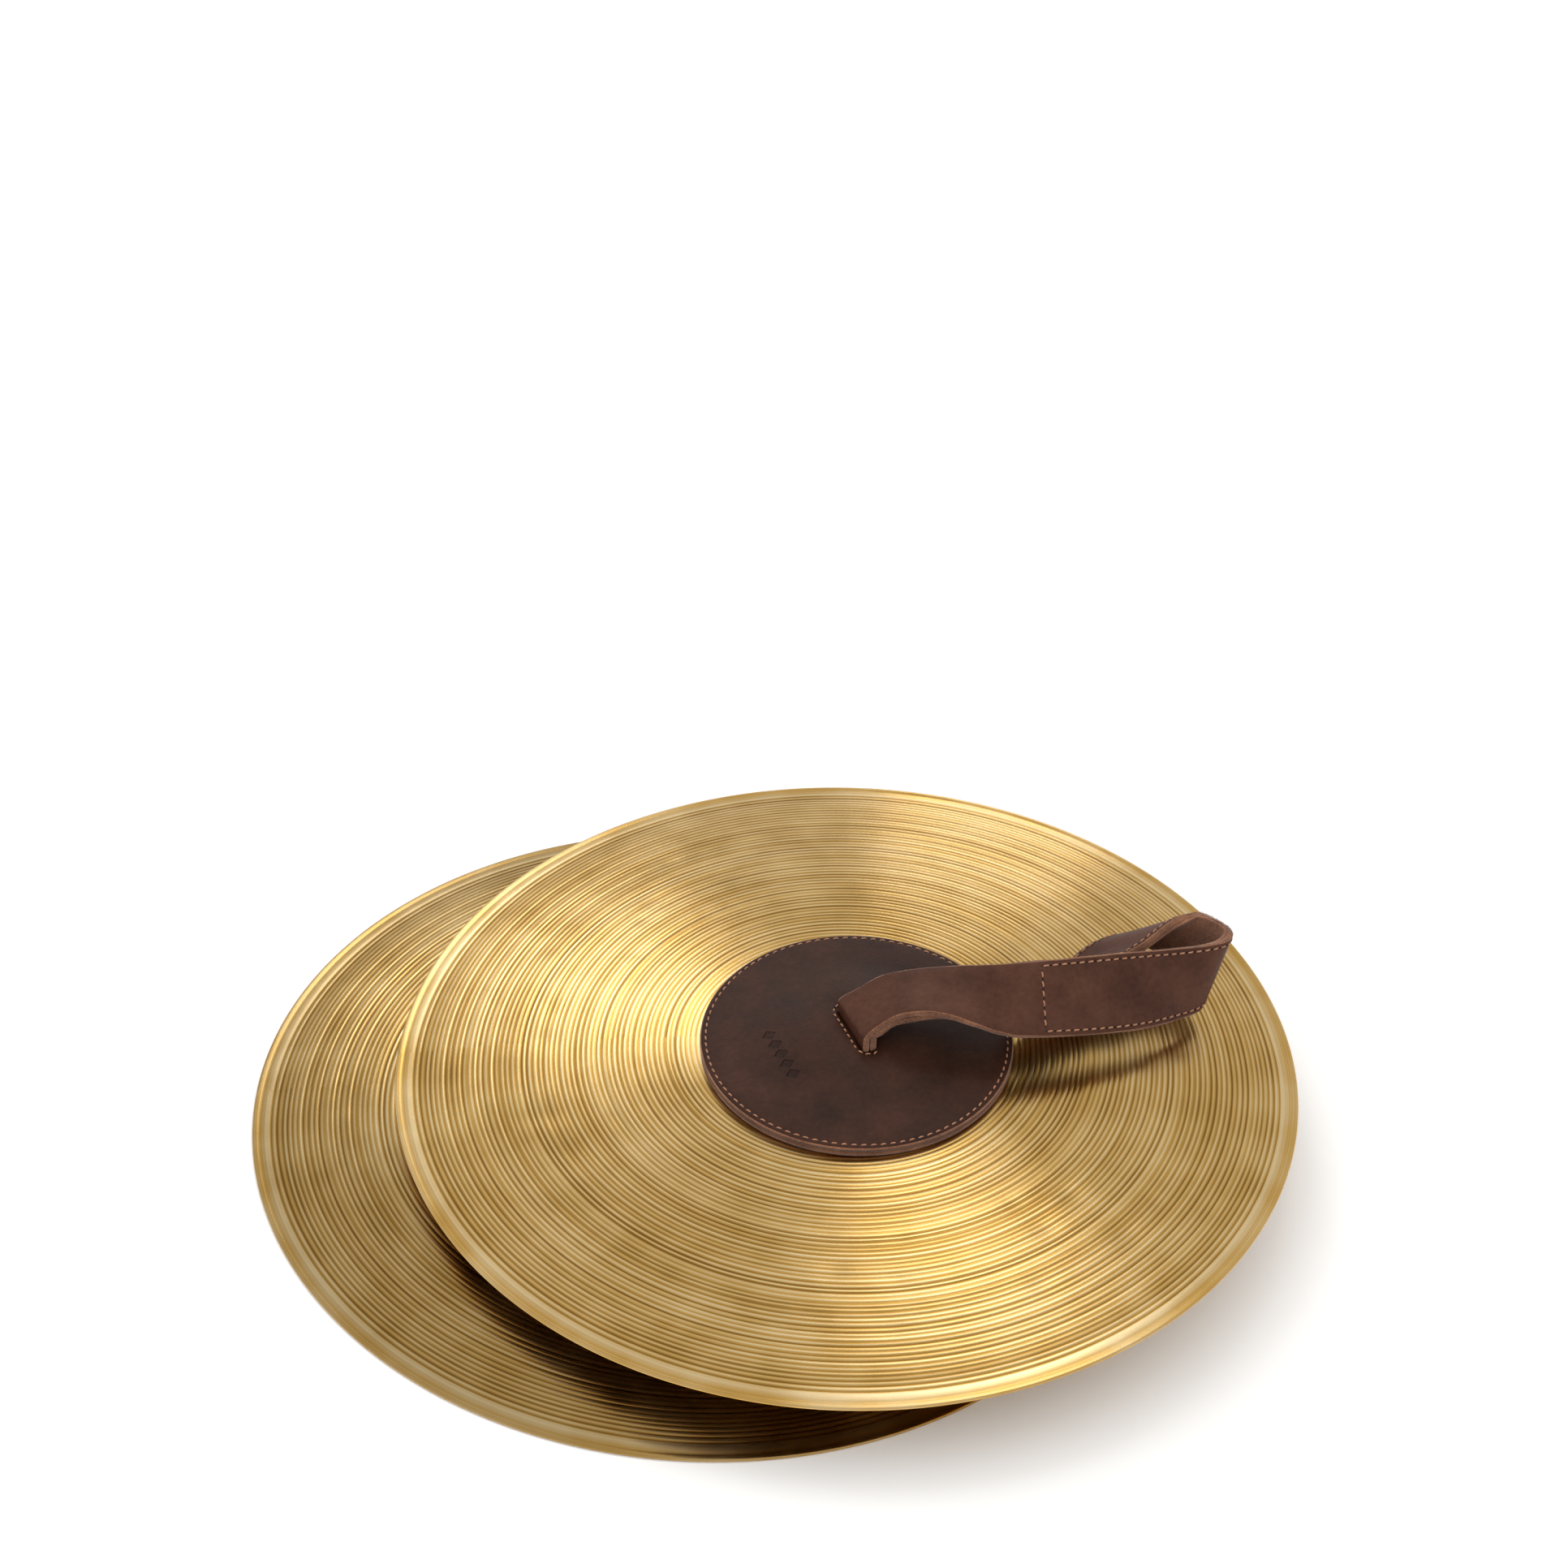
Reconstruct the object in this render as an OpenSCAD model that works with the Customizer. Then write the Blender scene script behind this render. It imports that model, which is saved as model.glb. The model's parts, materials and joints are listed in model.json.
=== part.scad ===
// A pair of orchestral hand cymbals with leather pads and straps.
// The upper cymbal lies bell up on the lower one, a little to the right and tilted.
// Each cymbal is modelled once in its own frame (rim plane at z = 0, axis on +Z) and then placed.

/* [Plate] */
// Diameter of the bronze plate
plate_d = 406.4; // [380:1:432]
// Height of the bow above the rim, as if it had no bell
bow_h = 20; // [16:0.5:22]
// Diameter of the bell where it meets the bow
bell_d = 104; // [90:1:116]
// Height that the bell adds to the bow
bell_h = 5; // [4:0.5:6]
// Thickness of the bronze
plate_t = 1.4; // [1:0.1:1.5]
// Diameter of the centre hole
hole_d = 13; // [12.5:0.5:16]
// Width of the flat ring under the rim
rim_flat = 3; // [2:0.5:5]

/* [Pad] */
// Diameter of the pad's top leather
pad_d = 140; // [136:1:148]
// Thickness of the suede base
base_t = 2; // [1.5:0.1:2.4]
// Thickness of the felt
felt_t = 1.5; // [1:0.1:1.8]
// Thickness of the top leather
cover_t = 1.8; // [1.4:0.1:2]
// Distance of the sewn ring from the pad's edge
seam_inset = 2.4; // [2:0.1:3]

/* [Strap] */
// Width of the strap
strap_w = 33; // [30:1:34]
// Width of the strap where it enters the slot
root_w = 28; // [26:1:29]
// Thickness of the strap leather
strap_t = 3; // [2.6:0.1:3]
// Thickness of the suede lining in the grip
lining_t = 1.6; // [1.2:0.1:1.7]
// Direction that the strap leaves the slot in, turned from +X towards +Y
strap_heading = 26; // [20:1:32]
// Thickness of the sewing thread
thread_d = 0.9; // [0.7:0.1:1]

/* [Stack] */
// How far the upper cymbal is moved to the right
shift_x = 63.6; // [60:0.1:66]
// How far the upper cymbal is moved back
shift_y = 5.9; // [4:0.1:8]
// How far the upper rim plane is above the lower one
shift_z = 30.6; // [30:0.1:36]
// Tilt of the upper cymbal, right side up
tilt = 2.06; // [1.5:0.01:2.2]

/* [Hidden] */

bronze = [0.80, 0.65, 0.36];
brown = [0.24, 0.15, 0.13];
suede = [0.52, 0.34, 0.23];
thread = [0.66, 0.42, 0.30];
felt = [0.45, 0.40, 0.36];

fine = 96;
plate_r = plate_d / 2;
hole_r = hole_d / 2;
pad_r = pad_d / 2;
bell_r = bell_d / 2;
// Clearance between the pad and the plate that it turns on
pad_gap = 0.35;
// The stack is centred on the origin in X and Y
lower_at = [-shift_x / 2, -shift_y / 2, 0];
upper_at = [shift_x / 2 + plate_r * (1 - cos(tilt)) / 2, shift_y / 2, shift_z];

// ---- Heights of the turned shapes, as functions of the radius ----
function bell(r) = r < bell_r ? bell_h * pow(1 - pow(r / bell_r, 2), 2) : 0;
function under(r) = r > plate_r - rim_flat ? 0 : bow_h * (1 - pow(r / (plate_r - rim_flat), 2)) + bell(r);
function above(r, lift) = under(r) + plate_t + lift;
// Lifts of the pad's faces over the top of the plate
felt_lift = pad_gap + base_t;
cover_lift = felt_lift + felt_t;
top_lift = cover_lift + cover_t;

// The tie leaves the pad a little off the plate's axis, with the slot in the pad's own centre
pad_at = [4, -3];
// Radius of the turned shells that the pad's leathers are cut from
blank_r = pad_r + norm(pad_at) + 2;

// ---- The slot in the pad ----
slot_at = pad_at;
slot_l = root_w + 2;
slot_w = 2 * strap_t + 1.8;
// The strap hinges just above the pad, and its tails begin inside the slot
hinge_z = above(0, top_lift) + strap_t + 0.6;
tail_top = above(0, top_lift) - 2;
heading = [cos(strap_heading), sin(strap_heading), 0];
across = [-sin(strap_heading), cos(strap_heading), 0];

// A closed ring with the section between two lifts over the plate, from radius a to radius b
module shell_ring(a, b, low, high, steps = 14) {
    rs = [for (i = [0:steps]) a + (b - a) * i / steps];
    rotate_extrude($fn = fine)
        polygon(concat(
            [for (r = rs) [r, above(r, low)]],
            [for (i = [steps:-1:0]) [rs[i], above(rs[i], high)]]
        ));
}

// Outline of the slot, grown by the given amount
module slot_outline(grow) {
    translate(slot_at) rotate(strap_heading + 90) {
        square([slot_l - slot_w, slot_w + 2 * grow], center = true);
        for (side = [-1, 1])
            translate([side * (slot_l - slot_w) / 2, 0]) circle(d = slot_w + 2 * grow, $fn = 32);
    }
}

module slot_cut() {
    translate([0, 0, 10]) linear_extrude(40) slot_outline(0);
}

// ---- Sweeping a band along a route ----
// A route is a list of pairs of points, one on each edge of the band, which may lie askew to it as
// on a twisted strip of leather. The edges are curves through the points, and the band's outer face
// is on the side of cross(tangent, first edge to second edge).
function unit(v) = v / norm(v);
function spline(a, b, c, d, u) =
    0.5 * (2 * b + (c - a) * u + (2 * a - 5 * b + 4 * c - d) * u * u + (3 * b - a - 3 * c + d) * u * u * u);
function pick(list, i) = list[max(0, min(len(list) - 1, i))];
function part_way(route, k, i, u) =
    spline(pick(route, i - 1)[k], route[i][k], pick(route, i + 1)[k], pick(route, i + 2)[k], u);
per_span = 5;
function dense(route) = [
    for (i = [0:len(route) - 2], j = [0:per_span - 1])
        [part_way(route, 0, i, j / per_span), part_way(route, 1, i, j / per_span)],
    route[len(route) - 1]
];
function middle(pair) = (pair[0] + pair[1]) / 2;
// Each row is [middle, first edge to second edge over strap_w, outward direction]
function frames(path) = [
    for (i = [0:len(path) - 1])
        let (
            t = middle(pick(path, i + 1)) - middle(pick(path, i - 1)),
            w = (path[i][1] - path[i][0]) / strap_w
        )
        [middle(path[i]), w, unit(cross(t, w))]
];

// A bar of rectangular section along rows first to last: w0..w1 across the width, n0..n1 outwards
module bar(rows, first, last, w0, w1, n0, n1) {
    points = [
        for (i = [first:last], c = [[w0, n0], [w1, n0], [w1, n1], [w0, n1]])
            rows[i][0] + c[0] * rows[i][1] + c[1] * rows[i][2]
    ];
    spans = last - first;
    sides = [
        for (i = [0:spans - 1], k = [0:3])
            let (a = 4 * i + k, b = 4 * i + (k + 1) % 4)
            each [[a, a + 4, b + 4], [a, b + 4, b]]
    ];
    e = 4 * spans;
    ends = [[0, 1, 2], [0, 2, 3], [e + 2, e + 1, e], [e + 3, e + 2, e]];
    polyhedron(points, concat(sides, ends));
}

// ---- Routes of the two straps, each from the slot out, round the end and back ----
leg = strap_t / 2 + 0.25;
function pair_about(c, half) = [c - half * across, c + half * across];
function slot_pair(side, rise) =
    pair_about([slot_at[0], slot_at[1], hinge_z + rise] + side * heading, root_w / 2);

// The upper strap stands up from the slot, bows over and leans like a tent over the plate
upper_route = [
    slot_pair(-leg, 0),
    slot_pair(-leg, 2.5),
    [[13, -14, 41], [3, 11, 41]],
    [[22, -12, 46.5], [14, 14, 46.5]],
    [[32, -12, 49], [26, 15, 49.5]],
    [[42, -13, 49.5], [38, 16, 51]],
    [[55, -15, 46.5], [52, 15.5, 53.5]],
    [[68, -16, 42], [65, 14.5, 56]],
    [[82, -12.5, 38], [79, 15, 58]],
    [[105, -4.5, 33], [102, 22, 56]],
    [[129, 7, 27], [128, 33, 51]],
    [[148, 22, 21], [151, 43, 46]],
    [[158, 32, 18], [168, 50, 44.5]],
    [[160, 42, 17], [172, 58, 44]],
    [[154, 55, 18], [166, 64, 44.5]],
    [[145, 64, 21], [159, 68, 45]],
    [[134, 68, 26], [153, 66, 45]],
    [[122, 66, 30], [147, 62, 45]],
    [[111, 60, 31], [139, 53, 44.5]],
    [[102, 53, 28], [129, 43, 43]],
    [[95, 43, 23.5], [116, 35, 42]],
    [[90, 33, 21.5], [104, 28, 46]],
    [[84, 21, 22], [91, 22, 53]],
    [[78, 11, 24.5], [76, 20, 53]],
    [[69, 1, 29.5], [66, 20, 51]],
    [[56, -6, 39], [54, 21, 48.5]],
    [[42, -8, 44.5], [40, 21, 45.5]],
    [[28, -11, 44], [24, 17, 44.5]],
    [[19.5, -12, 42], [12, 14.5, 42]],
    [[15, -14, 38.2], [5, 11.5, 38.2]],
    slot_pair(leg, 1),
    slot_pair(leg, 0)
];
// Places in the route between which the grip is lined and sewn
upper_grip = [8, 23];

// The lower strap is pressed flat: its places are the distance from the slot and the height
function flat_pair(s, z) = pair_about(
    [slot_at[0], slot_at[1], z] + s * heading,
    (root_w + (strap_w - root_w) * min(1, s / 80)) / 2
);
lower_route = [
    slot_pair(-leg, 0),
    slot_pair(-leg, 1.8),
    flat_pair(0.5, 39.5),
    flat_pair(8, 42),
    flat_pair(22, 41.5),
    flat_pair(40, 40),
    flat_pair(60, 39),
    flat_pair(82, 37.5),
    flat_pair(105, 34),
    flat_pair(130, 29.5),
    flat_pair(155, 26.5),
    flat_pair(168, 24),
    flat_pair(174.5, 17.5),
    flat_pair(168, 11.5),
    flat_pair(155, 11.5),
    flat_pair(130, 17),
    flat_pair(105, 24),
    flat_pair(82, 30),
    flat_pair(60, 34),
    flat_pair(40, 36),
    flat_pair(22, 37.5),
    flat_pair(11, 37.8),
    flat_pair(4.4, 37),
    slot_pair(leg, 0)
];
lower_grip = [7, 17];

upper_rows = frames(dense(upper_route));
lower_rows = frames(dense(lower_route));

// ---- One cymbal's pieces, in its own frame ----
module plate() {
    steps = 40;
    edge = plate_r - rim_flat;
    rs = [for (i = [0:steps]) hole_r + (edge - hole_r) * i / steps];
    color(bronze)
        rotate_extrude($fn = 2 * fine)
            polygon(concat(
                [for (r = rs) [r, under(r)]],
                [[plate_r, 0], [plate_r, plate_t]],
                [for (i = [steps:-1:0]) [rs[i], under(rs[i]) + plate_t]]
            ));
}

// One layer of the pad: a disc between two lifts over the plate, with the slot cut through it
module pad_layer(outer, low, high) {
    difference() {
        intersection() {
            shell_ring(0, blank_r, low, high);
            translate([pad_at[0], pad_at[1], 0]) cylinder(r = outer, h = 60, $fn = fine);
        }
        slot_cut();
    }
}

module pad_base() {
    color(suede) difference() {
        pad_layer(pad_r - 0.4, pad_gap, felt_lift);
        cylinder(r = hole_r, h = 60, $fn = fine);
    }
}

module pad_felt() {
    color(felt) difference() {
        pad_layer(pad_r - 1, felt_lift, cover_lift);
        cylinder(r = hole_r, h = 60, $fn = fine);
    }
}

module pad_cover() {
    color(brown) pad_layer(pad_r, cover_lift, top_lift);
}

// Sewing that lies on the top leather over a flat outline
module thread_on_pad(reach) {
    color(thread) intersection() {
        shell_ring(0, reach, top_lift - thread_d / 2, top_lift + thread_d / 2);
        linear_extrude(60) children();
    }
}

module pad_seam() {
    r = pad_r - seam_inset;
    thread_on_pad(blank_r) translate(pad_at) difference() {
        circle(r = r + thread_d / 2, $fn = fine);
        circle(r = r - thread_d / 2, $fn = fine);
    }
}

// The sewing runs along the slot's closed side and round its two ends
module slot_seam() {
    inset = 1.6;
    thread_on_pad(pad_r / 2) difference() {
        slot_outline(inset + thread_d);
        slot_outline(inset);
        translate(slot_at) rotate(strap_heading) translate([2, -slot_l]) square(2 * slot_l);
    }
}

module strap(rows) {
    color(brown)
        bar(rows, 0, len(rows) - 1, -strap_w / 2, strap_w / 2, -strap_t / 2, strap_t / 2);
}

module grip_lining(rows, grip) {
    half = strap_w / 2 - 0.5;
    color(suede)
        bar(rows, grip[0] * per_span, grip[1] * per_span, -half, half, -strap_t / 2 - lining_t, -strap_t / 2);
}

// A row of thread across the width of the strap at one row of its frames
module thread_across(row, half, low, high) {
    along = cross(row[1], row[2]) * thread_d / 2;
    bar([[row[0] - along, row[1], row[2]], [row[0] + along, row[1], row[2]]], 0, 1, -half, half, low, high);
}

// Two long rows of thread and one across each end of the lining, on the outer face
module grip_seam(rows, grip) {
    half = strap_w / 2 - seam_inset;
    low = strap_t / 2 - thread_d / 2;
    high = strap_t / 2 + thread_d / 2;
    first = grip[0] * per_span + 1;
    last = grip[1] * per_span - 1;
    color(thread) {
        for (side = [-1, 1])
            bar(rows, first, last, side * half - thread_d / 2, side * half + thread_d / 2, low, high);
        for (end = [first, last])
            thread_across(rows[end], half - thread_d, low, high);
    }
}

// The strap's ends below the hinge, drawn in to pass the hole
module strap_tails() {
    neck_r = hole_r - 1;
    shoulder = above(0, pad_gap);
    foot = knot_top - 1.4;
    color(brown) {
        translate([0, 0, shoulder]) linear_extrude(tail_top - shoulder)
            translate(slot_at) rotate(strap_heading)
                square([slot_w - 1.6, root_w - 4], center = true);
        translate([0, 0, foot]) cylinder(r = neck_r, h = tail_top - foot, $fn = 32);
    }
}

// A square knot: two bights of leather, one through the other, with two short ends
knot_r = 4.2;
knot_reach = 8;
knot_top = under(knot_reach + 2 * knot_r) - 0.8;
module strap_knot() {
    color(brown) translate([0, 0, knot_top - knot_r - 1.6]) rotate(strap_heading)
        for (turn = [0, 180]) rotate(turn) {
            translate([3, 0, 0]) rotate([0, 8, 0]) rotate_extrude($fn = 48)
                translate([knot_reach - 1, 0]) circle(r = knot_r - 1, $fn = 24);
            translate([4, 0, -1.2]) rotate([0, 90, 38]) cylinder(r = knot_r - 1, h = 16, $fn = 24);
        }
}

module lower_place() {
    translate(lower_at) children();
}

module upper_place() {
    translate(upper_at) rotate([0, -tilt, 0]) children();
}

module lower_plate() { lower_place() plate(); }
module lower_pad_base() { lower_place() pad_base(); }
module lower_pad_felt() { lower_place() pad_felt(); }
module lower_pad_cover() { lower_place() pad_cover(); }
module lower_pad_seam() { lower_place() pad_seam(); }
module lower_slot_seam() { lower_place() slot_seam(); }
module lower_strap() { lower_place() strap(lower_rows); }
module lower_grip_lining() { lower_place() grip_lining(lower_rows, lower_grip); }
module lower_grip_seam() { lower_place() grip_seam(lower_rows, lower_grip); }
module lower_strap_tails() { lower_place() strap_tails(); }
module lower_strap_knot() { lower_place() strap_knot(); }
module upper_plate() { upper_place() plate(); }
module upper_pad_base() { upper_place() pad_base(); }
module upper_pad_felt() { upper_place() pad_felt(); }
module upper_pad_cover() { upper_place() pad_cover(); }
module upper_pad_seam() { upper_place() pad_seam(); }
module upper_slot_seam() { upper_place() slot_seam(); }
module upper_strap() { upper_place() strap(upper_rows); }
module upper_grip_lining() { upper_place() grip_lining(upper_rows, upper_grip); }
module upper_grip_seam() { upper_place() grip_seam(upper_rows, upper_grip); }
module upper_strap_tails() { upper_place() strap_tails(); }
module upper_strap_knot() { upper_place() strap_knot(); }

lower_plate();
lower_pad_base();
lower_pad_felt();
lower_pad_cover();
lower_pad_seam();
lower_slot_seam();
lower_strap();
lower_grip_lining();
lower_grip_seam();
lower_strap_tails();
lower_strap_knot();
upper_plate();
upper_pad_base();
upper_pad_felt();
upper_pad_cover();
upper_pad_seam();
upper_slot_seam();
upper_strap();
upper_grip_lining();
upper_grip_seam();
upper_strap_tails();
upper_strap_knot();
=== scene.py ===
# %% [markdown]
# # A pair of hand cymbals, stacked with their leather pads and straps
# Two hammered bronze plates lie bell up, the upper one leaning on the lower one and shifted to the right.
# Each has a round leather pad over its bell and a hand strap that comes up through a slot in the pad.
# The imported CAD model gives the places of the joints, and every visible piece is rebuilt around it here.
# A cymbal is modelled once, in millimetres, with its rim plane at z = 0 and its axis on +Z, because both
# plates are alike; a placement matrix then puts it in the stack.

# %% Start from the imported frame
import bisect
import json
import math
import random

import bmesh
import bpy
import numpy as np
from mathutils import Matrix, Vector, noise


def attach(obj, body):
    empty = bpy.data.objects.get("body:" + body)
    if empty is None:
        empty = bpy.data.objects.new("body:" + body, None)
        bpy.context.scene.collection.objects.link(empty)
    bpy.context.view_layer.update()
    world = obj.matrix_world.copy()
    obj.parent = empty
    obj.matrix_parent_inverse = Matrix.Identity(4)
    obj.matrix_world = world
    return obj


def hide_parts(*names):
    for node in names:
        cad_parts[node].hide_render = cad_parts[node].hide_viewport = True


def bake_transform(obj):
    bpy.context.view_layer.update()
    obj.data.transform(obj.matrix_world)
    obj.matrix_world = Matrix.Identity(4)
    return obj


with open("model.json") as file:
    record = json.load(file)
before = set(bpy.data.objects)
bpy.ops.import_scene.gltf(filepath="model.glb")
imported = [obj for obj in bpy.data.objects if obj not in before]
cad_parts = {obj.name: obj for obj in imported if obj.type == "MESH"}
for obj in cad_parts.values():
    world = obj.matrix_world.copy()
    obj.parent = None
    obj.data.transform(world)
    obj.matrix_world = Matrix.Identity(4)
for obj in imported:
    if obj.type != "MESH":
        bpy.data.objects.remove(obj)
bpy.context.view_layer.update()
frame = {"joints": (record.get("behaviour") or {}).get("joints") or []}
joints = {j["name"]: j for j in frame["joints"]}

# %% [markdown]
# ## Where the two cymbals lie
# A pad turns about its plate's axis, so each pad joint holds that axis and a point on it, 25 mm above the
# rim plane. Reading the placement from the joints keeps the looks on the CAD model if it is repacked.

# %% Placement matrices
AXIS_POINT = 25.0


def placement(which):
    joint = joints[which + "_pad_turn"]
    up = Vector(joint["axis"]).normalized()
    side = Vector((up.z, 0, -up.x)).normalized()
    back = up.cross(side)
    origin = Vector(joint["pos_m"]) - up * AXIS_POINT / 1000
    turn = Matrix((side, back, up)).transposed().to_4x4()
    return Matrix.Translation(origin) @ turn @ Matrix.Scale(0.001, 4)


PLACE = {which: placement(which) for which in ("lower", "upper")}
for which, matrix in PLACE.items():
    print(which, "cymbal at", [round(1000 * v, 2) for v in matrix.translation], "mm")

# %% [markdown]
# ## Heights of the turned shapes
# The plate is a shallow bow with a low, smooth bell in the middle and a narrow flat ring under the rim.
# The pad's layers follow the same surface, so one height function serves them all.

# %% Height functions
PLATE_R, PLATE_T, HOLE_R = 203.2, 1.4, 6.5
BOW_H, BOW_R = 20.0, 200.2
BELL_H, BELL_R = 5.0, 52.0
PAD_R = 70.0
PAD_AT = Vector((4.0, -3.0, 0.0))
BASE_LIFT, FELT_LIFT, COVER_LIFT, TOP_LIFT = 0.35, 2.35, 3.85, 5.65


def under(r):
    """Height of the plate's lower face over the rim plane at radius r."""
    bow = BOW_H * (1 - (r / BOW_R) ** 2) if r < BOW_R else 0.0
    bell = BELL_H * (1 - (r / BELL_R) ** 2) ** 2 if r < BELL_R else 0.0
    return bow + bell


def above(r, lift):
    return under(r) + PLATE_T + lift


def on_pad(x, y, lift):
    """The point over (x, y) that is this high above the top of the plate."""
    return Vector((x, y, above(math.hypot(x, y), lift)))


print("top of the pad is", round(above(0, TOP_LIFT), 2), "mm over the rim plane")

# %% [markdown]
# ## From a bmesh to a finished piece
# Every piece is modelled in the cymbal's frame and transformed into the stack, so the finished object
# stands at the origin, unturned and unscaled. Normals are recalculated once, at the end. Pads, straps,
# thongs and stitches are all rings of vertices that change shape from one to the next, so no single
# operator makes them; one helper lays the faces between the rings and another closes the two ends.

# %% Finishing helpers
def add_piece(name, bm, which, materials, smooth=True):
    bmesh.ops.recalc_face_normals(bm, faces=bm.faces)
    bm.transform(PLACE[which])
    mesh = bpy.data.meshes.new(name)
    bm.to_mesh(mesh)
    bm.free()
    for material in materials:
        mesh.materials.append(material)
    mesh.polygons.foreach_set("use_smooth", [smooth] * len(mesh.polygons))
    obj = bpy.data.objects.new(name, mesh)
    bpy.context.scene.collection.objects.link(obj)
    return obj


def subdivide(obj):
    mod = obj.modifiers.new("Subdivision", "SUBSURF")
    mod.levels = mod.render_levels = 1


def ring_strip(bm, rings, closed_rows=False, kinds=None):
    """Faces between successive rings of as many vertices each; kinds has the material slot of each column."""
    count = len(rings[0])
    for a, b in zip(rings, rings[1:] + (rings[:1] if closed_rows else [])):
        for k in range(count):
            n = (k + 1) % count
            face = bm.faces.new((a[k], a[n], b[n], b[k]))
            face.material_index = kinds[k] if kinds else 0


def cap_ends(bm, rings, slot=0):
    for ring in (rings[0], rings[-1][::-1]):
        bm.faces.new(ring).material_index = slot


def oval_ring(bm, centre, side, up, count, flatness=1.0):
    """A ring of vertices about a centre, whose half axes are side and up; a low flatness squares it off."""
    ring = []
    for k in range(count):
        q = 2 * math.pi * k / count
        rise = math.copysign(abs(math.sin(q)) ** flatness, math.sin(q))
        ring.append(bm.verts.new(centre + side * math.cos(q) + up * rise))
    return ring


# %% [markdown]
# ## Node graphs for the materials
# All finishes are procedural. A tiny helper makes a node and sets its inputs, so that each material
# reads as a short recipe. Object coordinates are in metres, so a noise scale of 100 has 10 mm features.

# %% Material helpers
def new_material(name):
    material = bpy.data.materials.new(name)
    material.use_nodes = True
    tree = material.node_tree
    tree.nodes.clear()
    out = tree.nodes.new("ShaderNodeOutputMaterial")
    skin = tree.nodes.new("ShaderNodeBsdfPrincipled")
    tree.links.new(skin.outputs[0], out.inputs[0])
    return material, tree, skin


def node(tree, kind, attributes=None, **inputs):
    made = tree.nodes.new("ShaderNode" + kind)
    for key, value in (attributes or {}).items():
        setattr(made, key, value)
    for key, value in inputs.items():
        socket = made.inputs[key.replace("_", " ")]
        if isinstance(value, bpy.types.NodeSocket):
            tree.links.new(value, socket)
        else:
            socket.default_value = value
    return made


def ramp(tree, factor, *stops):
    """A colour ramp through stops of (position, colour), given in order."""
    made = node(tree, "ValToRGB", Fac=factor)
    elements = made.color_ramp.elements
    for element, (at, colour) in zip(elements, (stops[0], stops[-1])):
        element.position, element.color = at, (*colour, 1)
    for at, colour in stops[1:-1]:
        elements.new(at).color = (*colour, 1)
    return made.outputs["Color"]


def noise_node(tree, vector, scale, detail=3.0, roughness=0.55):
    made = node(tree, "TexNoise", Vector=vector, Scale=scale, Detail=detail, Roughness=roughness)
    return made.outputs["Fac"]


def math_node(tree, operation, a, b=0.0):
    made = tree.nodes.new("ShaderNodeMath")
    made.operation = operation
    for socket, value in zip(made.inputs, (a, b)):
        if isinstance(value, bpy.types.NodeSocket):
            tree.links.new(value, socket)
        else:
            socket.default_value = value
    return made.outputs[0]


def weighted_sum(tree, *parts):
    """Adds up (output, weight) pairs, for a tone made of several patterns."""
    total = 0.0
    for output, weight in parts:
        total = math_node(tree, "ADD", math_node(tree, "MULTIPLY", output, weight), total)
    return total


def bump(tree, height, distance, strength, normal=None):
    made = node(tree, "Bump", Height=height, Distance=distance, Strength=strength)
    if normal is not None:
        tree.links.new(normal, made.inputs["Normal"])
    return made.outputs["Normal"]


# %% [markdown]
# ## Bronze
# Cymbal bronze is hammered, then lathed while the plate spins, so its shine is drawn out across the
# fine rings into fans. The mesh carries the grooves that can be seen one by one; an anisotropic shine
# along the plate's own ring direction, taken from its UV map, stands for the finer ones. The lower plate
# gets a darker copy of the bronze, which is painted shade, so it gives back less light than the upper one.

# %% The bronze material
def ring_noise(tree, rings, turn_scale, radius_scale, layer, detail):
    """Noise on the plate's own (turn, radius) map, with its own scale along and across the rings."""
    flat = node(tree, "SeparateXYZ", Vector=rings)
    at = node(tree, "CombineXYZ", X=math_node(tree, "MULTIPLY", flat.outputs["X"], turn_scale),
              Y=math_node(tree, "MULTIPLY", flat.outputs["Y"], radius_scale), Z=layer)
    return noise_node(tree, at.outputs[0], 1.0, detail)


def make_bronze(name, share):
    """share scales the bronze's colour; below 1 it is painted shade, a darker copy for a plate that gets less
    light.
    """
    material, tree, skin = new_material(name)
    spot = node(tree, "TexCoord").outputs["Object"]
    rings = node(tree, "UVMap", {"uv_map": "rings"}).outputs["UV"]
    # U is the turn and V the radius in metres; noise stretched along the rings gives uneven lines
    lines = ring_noise(tree, rings, 2.0, 900.0, 0.0, 2.0)
    bands = ring_noise(tree, rings, 1.5, 160.0, 3.0, 1.0)
    blotch = noise_node(tree, spot, 28.0, 2.0)
    # painted shade: the groove attribute darkens the lathe valleys, deeper ones more, with a little random tone
    groove_shade = node(tree, "Attribute", {"attribute_name": "groove"}).outputs["Fac"]
    tone = weighted_sum(tree, (lines, 0.40), (bands, 0.15), (blotch, 0.28), (groove_shade, -0.40))
    stops = ((0.0, (0.31, 0.155, 0.03)), (0.22, (0.76, 0.455, 0.12)), (0.42, (0.98, 0.75, 0.41)))
    colour = ramp(tree, tone, *((at, tuple(share * c for c in tint)) for at, tint in stops))
    tree.links.new(colour, skin.inputs["Base Color"])
    skin.inputs["Metallic"].default_value = 1.0
    rough = node(tree, "MapRange", Value=blotch, From_Min=0.3, From_Max=0.7, To_Min=0.20, To_Max=0.27)
    tree.links.new(rough.outputs[0], skin.inputs["Roughness"])
    skin.inputs["Anisotropic"].default_value = 0.6
    skin.inputs["Anisotropic Rotation"].default_value = 0.25
    tangent = node(tree, "Tangent", {"direction_type": "UV_MAP", "uv_map": "rings"})
    tree.links.new(tangent.outputs[0], skin.inputs["Tangent"])
    tree.links.new(bump(tree, lines, 0.00006, 0.35), skin.inputs["Normal"])
    return material


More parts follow.
